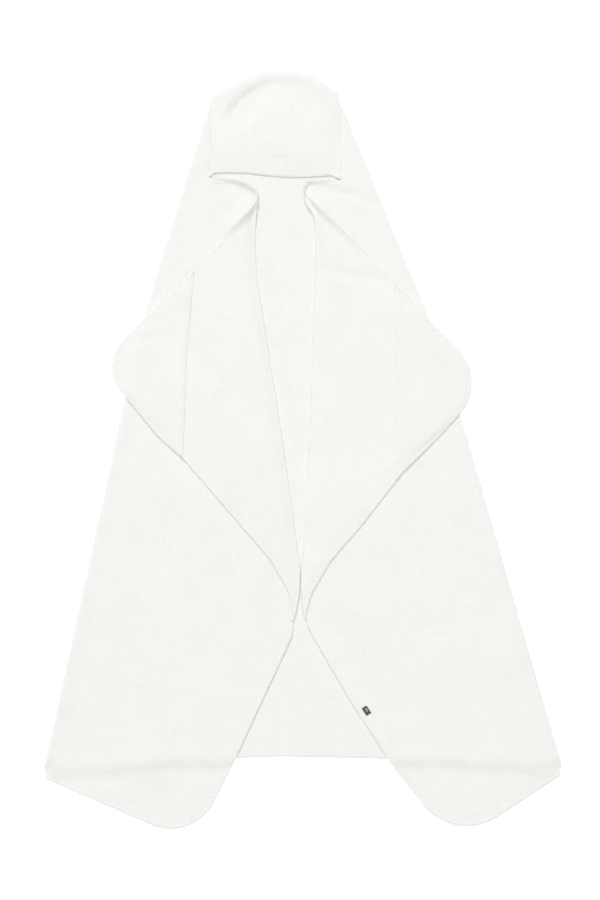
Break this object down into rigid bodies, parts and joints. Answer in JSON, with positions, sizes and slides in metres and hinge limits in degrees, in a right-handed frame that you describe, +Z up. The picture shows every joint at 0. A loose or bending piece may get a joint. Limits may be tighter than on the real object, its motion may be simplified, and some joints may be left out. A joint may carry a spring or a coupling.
{
  "type": "hooded bath towel",
  "caption": "Terry bath towel with a hood and corner hand pockets, laid out flat on its back, both fronts folded in and their upper corners folded out as lapels.",
  "frame": {"origin": "centre of the towel's laid-out outline, on the surface it lies on", "axes": "+Y from the bottom edge to the hood, +Z up from the surface, +X to the right seen from above with the hood away from the viewer"},
  "size_m": [0.7766, 1.1372, 0.0109],
  "materials": {
    "terry": "soft low-loop off-white terry, matt, with turned and stitched hems",
    "label": "dark woven tape, matt"
  },
  "bodies": {
    "root": {"body": "terry", "hood_front": "terry", "hand_pocket_left": "terry", "hand_pocket_right": "terry", "side_label": "label"}
  },
  "joints": []
}
